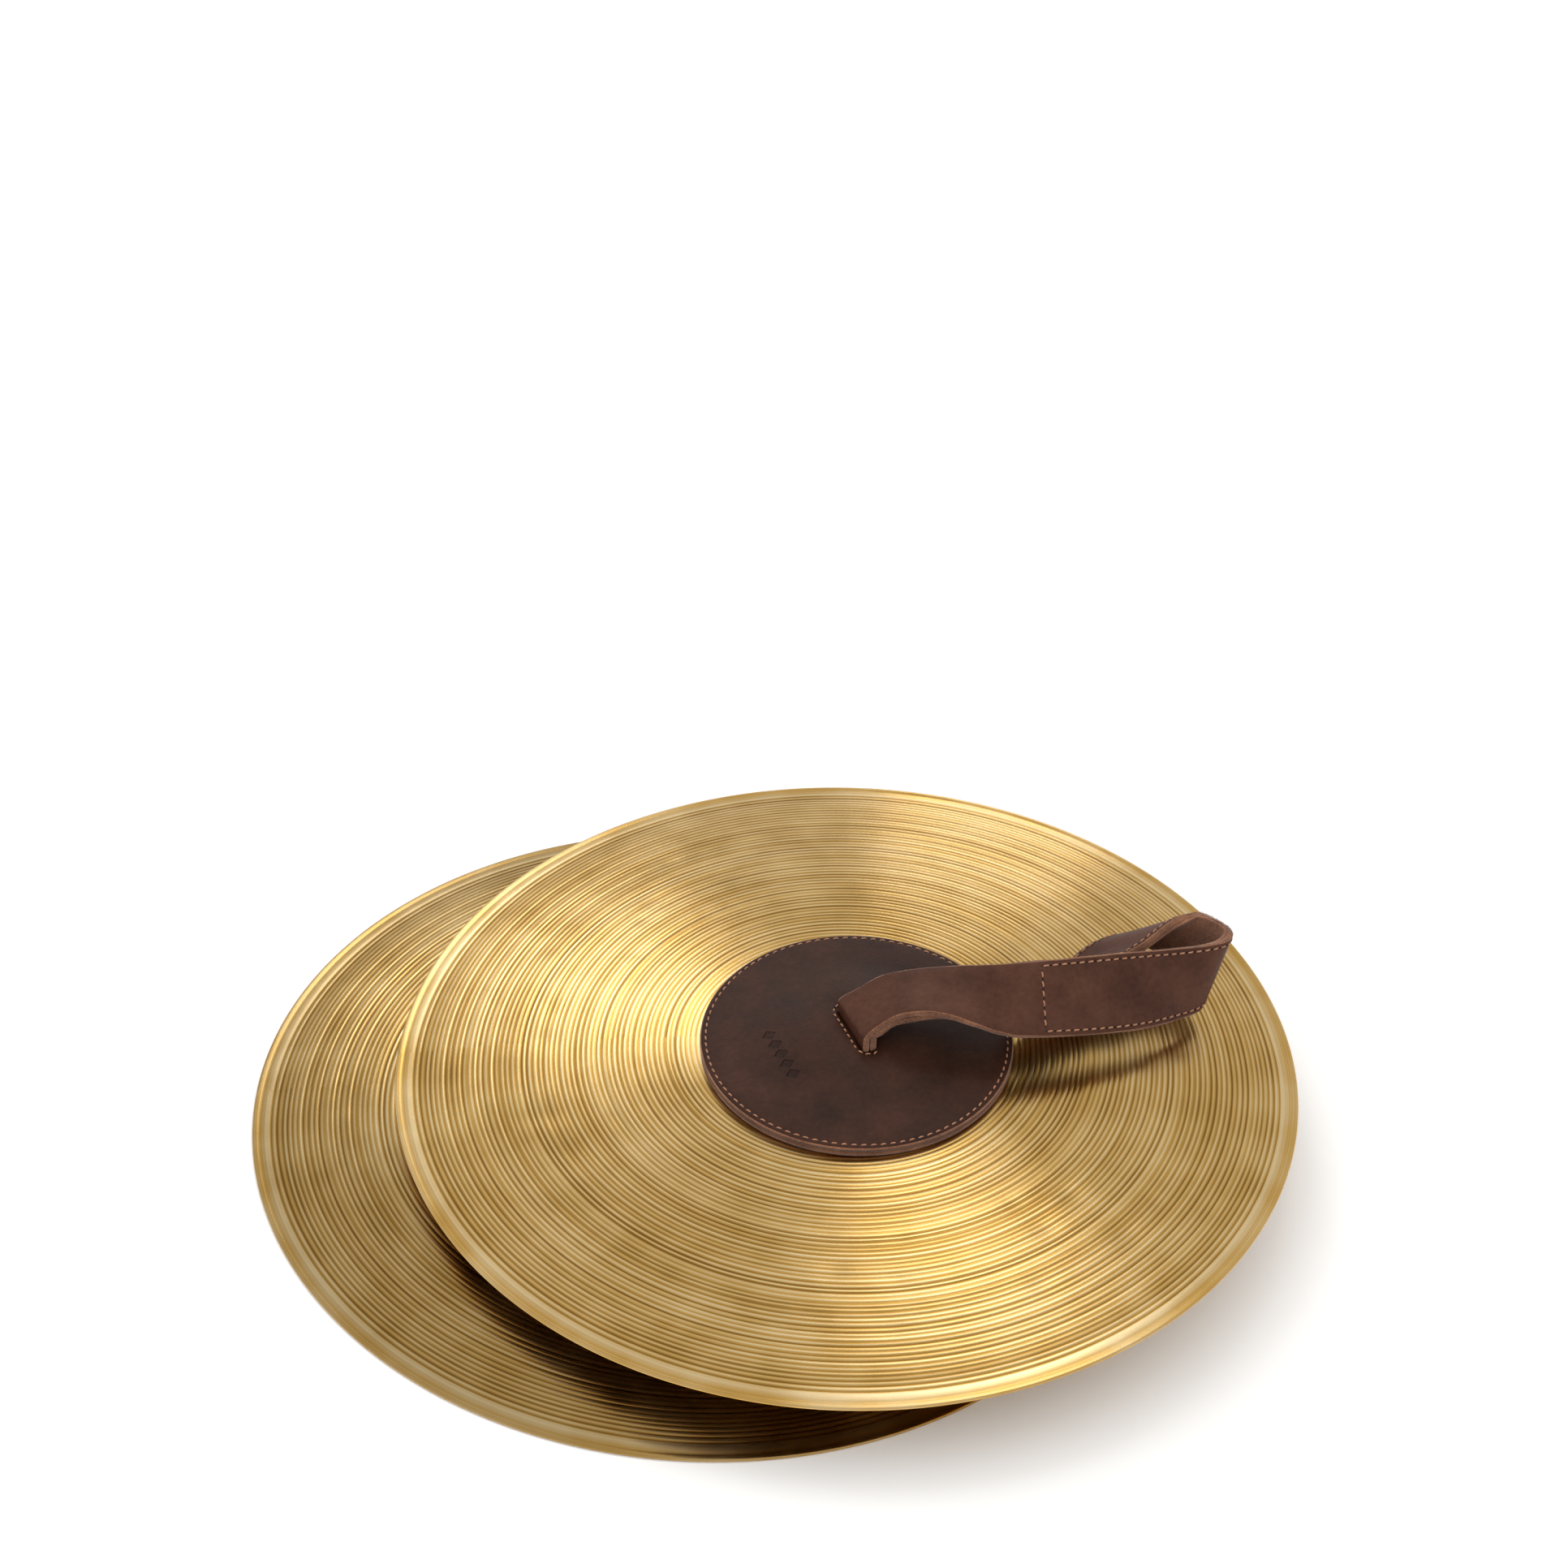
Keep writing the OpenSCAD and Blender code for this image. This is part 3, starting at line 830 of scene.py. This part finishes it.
ROUTES = {
    "upper": [
        slot_pair(-LEG, -7), slot_pair(-LEG, -4), slot_pair(-LEG, -1.2), slot_pair(-LEG + 0.5, 1.6),
        pair(13, -14, 40.5, 3.2, 11, 40.2), pair(22, -12, 46.5, 14, 14, 46.5), pair(32, -12, 49, 26, 15, 49.5),
        pair(42, -13, 49.5, 38, 16, 51), pair(55, -15, 46.5, 52, 15.5, 53.5), pair(68, -16, 42, 65, 14.5, 56),
        pair(82, -12.5, 38, 79, 15, 58), pair(105, -4.5, 33, 102, 22, 56), pair(129, 7, 27, 128, 33, 51),
        pair(148, 22, 21, 151, 43, 46), pair(158, 32, 18, 168, 50, 44.5), pair(160, 42, 17, 172, 58, 44),
        pair(154, 55, 18, 166, 64, 44.5), pair(145, 64, 21, 159, 68, 45), pair(134, 68, 26, 153, 66, 45),
        pair(122, 66, 30, 147, 62, 45), pair(111, 60, 31, 139, 53, 44.5), pair(102, 53, 28, 129, 43, 43),
        pair(95, 43, 23.5, 116, 35, 42), pair(90, 33, 21.5, 104, 28, 46), pair(84, 21, 22, 91, 22, 53),
        pair(78, 11, 24.5, 76, 20, 53), pair(69, 1, 29.5, 66, 20, 51), pair(56, -6, 39, 54, 21, 48.5),
        pair(42, -8, 44.5, 40, 21, 45.5), pair(28, -11, 44, 24, 17, 44.5), pair(19.5, -12, 42, 12, 14.5, 42),
        pair(15, -14, 38.2, 5, 11.5, 38.2), slot_pair(LEG, 1), slot_pair(LEG, -1),
        slot_pair(LEG, -4), slot_pair(LEG, -7),
    ],
    "lower": [
        slot_pair(-LEG, -7), slot_pair(-LEG, -3.5), slot_pair(-LEG, 0), slot_pair(-LEG, 1.8),
        flat_pair(0.5, 39.5), flat_pair(8, 42), flat_pair(22, 41.5), flat_pair(40, 40), flat_pair(60, 39),
        flat_pair(82, 37.5), flat_pair(105, 34), flat_pair(130, 29.5), flat_pair(155, 26.5), flat_pair(168, 24),
        flat_pair(174.5, 17.5), flat_pair(168, 11.5), flat_pair(155, 11.5), flat_pair(130, 17),
        flat_pair(105, 24),
        flat_pair(82, 30), flat_pair(60, 34), flat_pair(40, 36), flat_pair(22, 37.5), flat_pair(11, 37.8),
        flat_pair(4.4, 37), slot_pair(LEG, 0), slot_pair(LEG, -2), slot_pair(LEG, -4.5), slot_pair(LEG, -7),
    ],
}
GRIPS = {"upper": (10, 25), "lower": (9, 19)}  # the first and last place of the sewn part
PER_SPAN, ROUNDS = 8, 8


def spline(a, b, c, d, u):
    return 0.5 * (2 * b + (c - a) * u + (2 * a - 5 * b + 4 * c - d) * u * u + (3 * b - a - 3 * c + d) * u ** 3)


def strap_rows(route):
    """Rows of (middle, width direction over the strap's width, outward direction), close together."""
    def pick(i):
        return route[max(0, min(len(route) - 1, i))]

    dense = []
    for i in range(len(route) - 1):
        for j in range(PER_SPAN):
            near = [pick(i + step) for step in (-1, 0, 1, 2)]
            dense.append(tuple(spline(*(place[k] for place in near), j / PER_SPAN) for k in (0, 1)))
    dense.append(route[-1])
    for _ in range(ROUNDS):  # rounds off the places where the curve turns sharply
        dense = [dense[0]] + [tuple((a[k] + 2 * b[k] + c[k]) / 4 for k in (0, 1))
                              for a, b, c in zip(dense, dense[1:], dense[2:])] + [dense[-1]]
    middles = [(a + b) / 2 for a, b in dense]
    rows = []
    for i, (a, b) in enumerate(dense):
        t = middles[min(i + 1, len(middles) - 1)] - middles[max(i - 1, 0)]
        w = (b - a) / STRAP_W
        rows.append((middles[i], w, t.cross(w).normalized()))
    return rows


ROWS = {which: strap_rows(route) for which, route in ROUTES.items()}
for which, rows in ROWS.items():
    print(which, "strap is", round(sum((b[0] - a[0]).length for a, b in zip(rows, rows[1:]))), "mm long")

# %% [markdown]
# ## The strap band
# The band has a smooth outer face, rough cut edges and a fibrous inner face. Its section is a rounded
# strip, swept along the rows, with slightly wavy edges as a hand-cut strap has.

# %% Sweeping a strip
SECTION_STEPS = 10
OUTER, CUT_EDGE, INNER = 0, 1, 2


def strip_section(half, low, high, bevel):
    """Points of the strip's section in order round it, and the kind of face that follows each."""
    flat = half - bevel
    steps = [flat * (2 * k / SECTION_STEPS - 1) for k in range(SECTION_STEPS + 1)]
    edge = [(half - bevel * 0.25, high - bevel * 0.3), (half, high - bevel), (half, low + bevel),
            (half - bevel * 0.3, low + bevel * 0.3)]
    points = [(x, high) for x in steps] + edge
    points += [(-x, low) for x in steps] + [(-x, y) for x, y in reversed(edge)]
    kinds = []
    for kind in (OUTER, INNER):
        kinds += [kind] * SECTION_STEPS + [CUT_EDGE] * (1 + len(edge))
    return points, kinds


def sweep(bm, rows, section, kinds, ragged, seed):
    half = max(abs(x) for x, _ in section)
    rings = []
    for i, (middle, w, n) in enumerate(rows):
        ring = []
        for x, y in section:
            edge = abs(x) / half
            wobble = ragged * edge ** 4 * math.copysign(1, x) * noise.noise(Vector((i * 0.23, x, seed)))
            ring.append(bm.verts.new(middle + w * (x + wobble) + n * y))
        rings.append(ring)
    ring_strip(bm, rings, kinds=kinds)
    cap_ends(bm, rings, CUT_EDGE)


def strap(which):
    bm = bmesh.new()
    points, kinds = strip_section(STRAP_W / 2, -STRAP_T / 2, STRAP_T / 2, 0.55)
    sweep(bm, ROWS[which], points, kinds, ragged=0.35, seed=3.0)
    band = add_piece(which + "_strap_band", bm, which, [strap_leather, raw_edge, suede])
    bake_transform(band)
    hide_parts(which + "_strap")
    return band


FIBRES_A_ROW, FIBRE_RADIUS = 12, 0.09
BARE_SPANS = 4  # no fibres this near the slot


def add_fibre(bm, root, way, length):
    first = way.orthogonal().normalized() * FIBRE_RADIUS
    foot = [bm.verts.new(root + Matrix.Rotation(k * 2.0944, 3, way) @ first) for k in range(3)]
    top = bm.verts.new(root + way * length)
    bm.faces.new(foot)
    for k in range(3):
        bm.faces.new((foot[k], foot[(k + 1) % 3], top))


def fibres(which):
    """Short loose fibres along the cut edges, each a thin three-sided spike."""
    rng = random.Random(21)
    bm = bmesh.new()
    rows = ROWS[which]
    for i in range(PER_SPAN * BARE_SPANS, len(rows) - PER_SPAN * BARE_SPANS):
        m, w, n = rows[i]
        for side in [-1] * FIBRES_A_ROW + [1] * FIBRES_A_ROW:
            ahead = (rows[i + 1][0] - m) * rng.random()
            height = rng.choice((rng.uniform(-1.3, 1.2), rng.uniform(0.7, 1.25)))
            root = m + ahead + w * side * (STRAP_W / 2 - 0.12) + n * height
            way = w * side * rng.uniform(0.3, 1.0) + n * rng.uniform(-0.7, 0.9)
            way += ahead.normalized() * rng.uniform(-1, 1)
            add_fibre(bm, root, way.normalized(), rng.uniform(0.3, 1.0))
    fuzz = add_piece(which + "_edge_fibres", bm, which, [raw_edge])
    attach(fuzz, which + "_strap")
    return fuzz


for which in ("lower", "upper"):
    band = strap(which)
    fuzz = fibres(which)
    print(band.name, "has", len(band.data.polygons), "faces and", fuzz.name, len(fuzz.data.polygons))

# %% [markdown]
# ## Lining and sewing of the grip
# Where the hand goes, a suede lining is sewn to the inside. The sewing shows outside as a stitched
# rectangle, inset a little from the edges, with a row across each end.

# %% The grips
STITCH_INSET, LINING_INSET = 2.4, 0.45


def grip(which):
    rows = ROWS[which]
    first, last = (PER_SPAN * g for g in GRIPS[which])
    bm = bmesh.new()
    points, kinds = strip_section(STRAP_W / 2 - LINING_INSET, -STRAP_T / 2 - LINING_T + 0.1,
                                  -STRAP_T / 2 + 0.05, 0.45)
    kinds = [CUT_EDGE if kind == CUT_EDGE else OUTER for kind in kinds]
    sweep(bm, rows[first:last + 1], points, kinds, ragged=0.5, seed=9.0)
    lining = add_piece(which + "_lining", bm, which, [suede, raw_edge])
    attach(lining, which + "_strap")
    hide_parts(which + "_grip_lining")
    half = STRAP_W / 2 - STITCH_INSET
    run = rows[first + 2:last - 1]
    lines = []
    for x in (-half, half):
        points = [m + w * x + n * (STRAP_T / 2) for m, w, n in run]
        lines.append((points, [n for _, _, n in run], False))
    for m, w, n in (run[0], run[-1]):
        points = [m + w * x + n * (STRAP_T / 2) for x in np.linspace(1.6 - half, half - 1.6, 12)]
        lines.append((points, [n] * len(points), False))
    sew(which + "_grip_stitches", which, lines, which + "_strap", which + "_grip_seam", seed=8)


for which in ("lower", "upper"):
    grip(which)

# %% [markdown]
# ## Tails and knot
# Below the pad the strap's two ends are drawn in to pass the plate's hole, and are tied there in a
# square knot. Each half of the knot is a bight; one bight is the other turned about, so one path serves
# both. This knot is what stops the strap from pulling out.

# %% The tails and the square knot
KNOT_Z = 17.6
THONG_W, THONG_H = 5.4, 3.4
PER_BIGHT_SPAN, THONG_SIDES, THONG_FLATNESS = 6, 14, 0.6


def smooth_path(points):
    out = []
    for i in range(len(points) - 1):
        a, b = points[max(0, i - 1)], points[i]
        c, d = points[i + 1], points[min(len(points) - 1, i + 2)]
        out += [spline(a, b, c, d, j / PER_BIGHT_SPAN) for j in range(PER_BIGHT_SPAN)]
    return out + [points[-1]]


def thong(bm, path):
    """A narrow rounded thong of leather along a path, its flat side facing up where it can."""
    rings = []
    for i, p in enumerate(path):
        t = (path[min(i + 1, len(path) - 1)] - path[max(i - 1, 0)]).normalized()
        side = t.cross(Vector((0, 0, 1)))
        side = side.normalized() if side.length > 0.2 else ACROSS
        up = side.cross(t).normalized()
        rings.append(oval_ring(bm, p, side * THONG_W / 2, up * THONG_H / 2, THONG_SIDES, THONG_FLATNESS))
    ring_strip(bm, rings)
    cap_ends(bm, rings)


BIGHT = [(14.5, 3.4, -1.2), (7.5, 2.8, 2.0), (0, 4.4, -2.0), (-5.5, 5.2, 0.8), (-8.5, 0, 2.2),
         (-5.5, -5.2, 0.8), (0, -4.4, -2.0), (7.0, -2.8, 2.0), (12, -3.4, 0.6)]


def knot(which):
    bm = bmesh.new()
    for turn in (0, 1):
        points = []
        for x, y, z in BIGHT:
            if turn:
                x, y, z = -x, y, -z
            p = HEADING * x + ACROSS * y
            points.append(Vector((p.x, p.y, KNOT_Z + z)))
        thong(bm, smooth_path(points))
    tied = add_piece(which + "_square_knot", bm, which, [strap_leather])
    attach(tied, which + "_pad")
    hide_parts(which + "_strap_knot")
    print(tied.name, "has", len(tied.data.polygons), "faces")


def tail_stations(side):
    """(middle, width, depth) of one tail, from the slot down through the hole and into the knot."""
    in_slot = PAD_AT + HEADING * (side * 2.0)
    return [(in_slot + Vector((0, 0, 29.5)), 26, 2.9), (in_slot + Vector((0, 0, 28.0)), 24, 2.9),
            (Vector((side * 1.9, side * 0.8, 25.0)), 7, 3.4), (Vector((side * 1.8, side * 0.7, 21.5)), 7, 3.4),
            (Vector((side * 3.0, side * 1.5, KNOT_Z + 1.0)), 6, 3.2)]


def tails(which):
    bm = bmesh.new()
    for side in (-1, 1):
        rings = []
        for middle, width, depth in tail_stations(side):
            rings.append(oval_ring(bm, middle, ACROSS * width / 2, HEADING * depth / 2, THONG_SIDES))
        ring_strip(bm, rings)
        cap_ends(bm, rings)
    pair_of_tails = add_piece(which + "_tails", bm, which, [strap_leather])
    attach(pair_of_tails, which + "_pad")
    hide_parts(which + "_strap_tails")


for which in ("lower", "upper"):
    knot(which)
    tails(which)

# %% [markdown]
# ## The studio
# The stack lies on a pale floor, a large grid of one face just below the lower rim, so that the two
# surfaces don't flicker through each other.

# %% The floor
FLOOR_HALF, FLOOR_GAP = 6, 0.0002  # metres


def floor():
    material, tree, skin = new_material("floor_paper")
    spot = node(tree, "TexCoord").outputs["Object"]
    colour = ramp(tree, noise_node(tree, spot, 3.0), (0.3, (0.92, 0.92, 0.92)), (0.7, (0.94, 0.94, 0.94)))
    tree.links.new(colour, skin.inputs["Base Color"])
    skin.inputs["Roughness"].default_value = 0.9
    bm = bmesh.new()
    bmesh.ops.create_grid(bm, x_segments=1, y_segments=1, size=FLOOR_HALF)
    mesh = bpy.data.meshes.new("floor")
    bm.to_mesh(mesh)
    bm.free()
    mesh.materials.append(material)
    obj = bpy.data.objects.new("floor", mesh)
    bpy.context.scene.collection.objects.link(obj)
    obj.location.z = -FLOOR_GAP


floor()
print("floor laid", FLOOR_GAP, "m below the lower rim")

# %% [markdown]
# ## Lights
# A soft key light above and to the left gives the shadow at the lower right; it is hidden from shiny
# surfaces, so it doesn't burn a spot into the bronze. Three smaller panels stand behind the cymbals, where
# the rings mirror them as pale fans. The room itself is bright for matt surfaces and dimmer in reflections.

# %% The lights
PANEL_DISTANCE = 2.6


def panel(name, azimuth, elevation, width, height, power, distance=PANEL_DISTANCE):
    light = bpy.data.lights.new(name, "AREA")
    light.shape, light.size, light.size_y, light.energy = "RECTANGLE", width, height, power
    obj = bpy.data.objects.new(name, light)
    az, el = math.radians(azimuth), math.radians(elevation)
    way = Vector((math.cos(az) * math.cos(el), math.sin(az) * math.cos(el), math.sin(el)))
    obj.location = way * distance
    obj.rotation_euler = way.to_track_quat("Z", "Y").to_euler()
    bpy.context.scene.collection.objects.link(obj)
    return obj


key = panel("key", 128, 60, 1.0, 1.0, 7, distance=2.2)
key.visible_glossy = False
panel("fan_left", 106, 37, 0.46, 0.48, 2.4)
panel("fan_front", 77, 62, 0.6, 0.6, 2.4)
panel("fan_back", 83, 19, 0.5, 0.4, 1.3)

world = bpy.data.worlds.new("room")
world.use_nodes = True
bpy.context.scene.world = world
tree = world.node_tree
tree.nodes.clear()
mirrored = tree.nodes.new("ShaderNodeLightPath").outputs["Is Glossy Ray"]
level = node(tree, "MapRange", Value=mirrored, To_Min=1.16, To_Max=0.56).outputs[0]
room = node(tree, "Background", Color=(1.0, 0.99, 0.97, 1), Strength=level).outputs[0]
tree.links.new(room, tree.nodes.new("ShaderNodeOutputWorld").inputs["Surface"])

print("lights:", [light.name for light in bpy.data.lights])

# %% [markdown]
# ## Camera
# A long lens looks down at the stack from the front, rolled by a few degrees. Its place, lens and angles
# come from fitting the outlines of both plates and the pad. The Standard view keeps the whites white.

# %% The camera
camera = bpy.data.cameras.new("camera")
camera.lens, camera.sensor_width = 93.17, 36.0
camera_object = bpy.data.objects.new("camera", camera)
bpy.context.scene.collection.objects.link(camera_object)
pitch, roll = math.radians(39.16), math.radians(-3.817)
ahead = Vector((0, math.cos(pitch), -math.sin(pitch)))
right, down = Vector((1, 0, 0)), Vector((0, -math.sin(pitch), -math.cos(pitch)))
rolled_right = math.cos(roll) * right + math.sin(roll) * down
rolled_down = -math.sin(roll) * right + math.cos(roll) * down
camera_object.matrix_world = (Matrix.Translation((-0.00499, -1.33575, 1.28656))
                              @ Matrix((rolled_right, -rolled_down, -ahead)).transposed().to_4x4())
bpy.context.scene.camera = camera_object
bpy.context.scene.view_settings.view_transform = "Standard"
print("camera looks down by", round(math.degrees(pitch), 1), "degrees")
